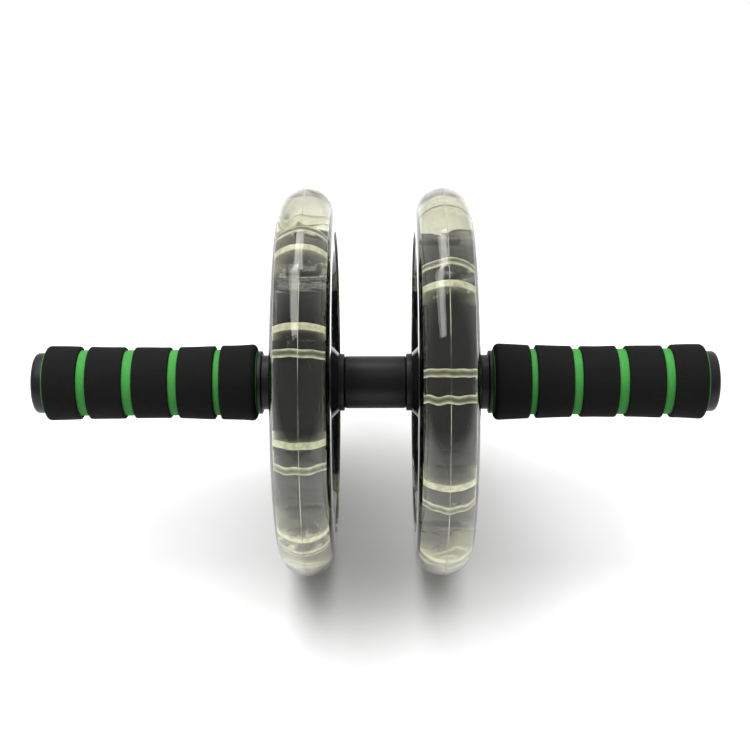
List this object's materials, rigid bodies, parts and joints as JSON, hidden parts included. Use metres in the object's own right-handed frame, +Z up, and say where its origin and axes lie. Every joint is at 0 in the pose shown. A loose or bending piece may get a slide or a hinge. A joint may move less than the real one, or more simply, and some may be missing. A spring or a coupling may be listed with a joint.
{
  "type": "ab wheel roller",
  "caption": "Ab roller with clear hollow tyres on black cores, running on a steel axle between foam-covered handles.",
  "frame": {"origin": "on the floor under the middle of the axle, midway between the wheels", "axes": "+X along the axle to the picture's right, +Y away from the picture's camera, +Z up"},
  "size_m": [0.3166, 0.18, 0.18],
  "materials": {
    "axle_steel": "polished",
    "fastener_steel": "satin",
    "core_plastic": "gloss",
    "clear_tyre": "gloss",
    "sleeve_plastic": "satin",
    "bush_plastic": "satin",
    "handle_plastic": "satin",
    "plug_plastic": "matte",
    "green_foam": "matte",
    "black_foam": "matte"
  },
  "bodies": {
    "handlebar": {"axle_tube": "axle_steel", "left_handle_core": "handle_plastic", "left_grip_sleeve": "green_foam", "left_grip_band_1": "black_foam", "left_grip_band_2": "black_foam", "left_grip_band_3": "black_foam", "left_grip_band_4": "black_foam", "left_grip_band_5": "black_foam", "left_end_cap": "handle_plastic", "left_axle_plug": "plug_plastic", "left_end_washer": "fastener_steel", "left_end_screw": "fastener_steel", "right_handle_core": "handle_plastic", "right_grip_sleeve": "green_foam", "right_grip_band_1": "black_foam", "right_grip_band_2": "black_foam", "right_grip_band_3": "black_foam", "right_grip_band_4": "black_foam", "right_grip_band_5": "black_foam", "right_end_cap": "handle_plastic", "right_axle_plug": "plug_plastic", "right_end_washer": "fastener_steel", "right_end_screw": "fastener_steel"},
    "left_wheel": {"left_core_inner_half": "core_plastic", "left_core_outer_half": "core_plastic", "left_core_screws": "fastener_steel", "left_tyre_inner_half": "clear_tyre", "left_tyre_outer_half": "clear_tyre", "left_inner_bush": "bush_plastic", "left_outer_bush": "bush_plastic"},
    "right_wheel": {"right_core_inner_half": "core_plastic", "right_core_outer_half": "core_plastic", "right_core_screws": "fastener_steel", "right_tyre_inner_half": "clear_tyre", "right_tyre_outer_half": "clear_tyre", "right_inner_bush": "bush_plastic", "right_outer_bush": "bush_plastic"},
    "spacer": {"centre_sleeve": "sleeve_plastic"}
  },
  "joints": [
    {"name": "left_wheel_spin", "type": "hinge", "parent": "handlebar", "child": "left_wheel", "pos_m": [0, 0, 0.09], "axis": [1, 0, 0], "continuous": true},
    {"name": "right_wheel_spin", "type": "hinge", "parent": "handlebar", "child": "right_wheel", "pos_m": [0, 0, 0.09], "axis": [1, 0, 0], "continuous": true},
    {"name": "spacer_spin", "type": "hinge", "parent": "handlebar", "child": "spacer", "pos_m": [0, 0, 0.09], "axis": [1, 0, 0], "continuous": true}
  ]
}
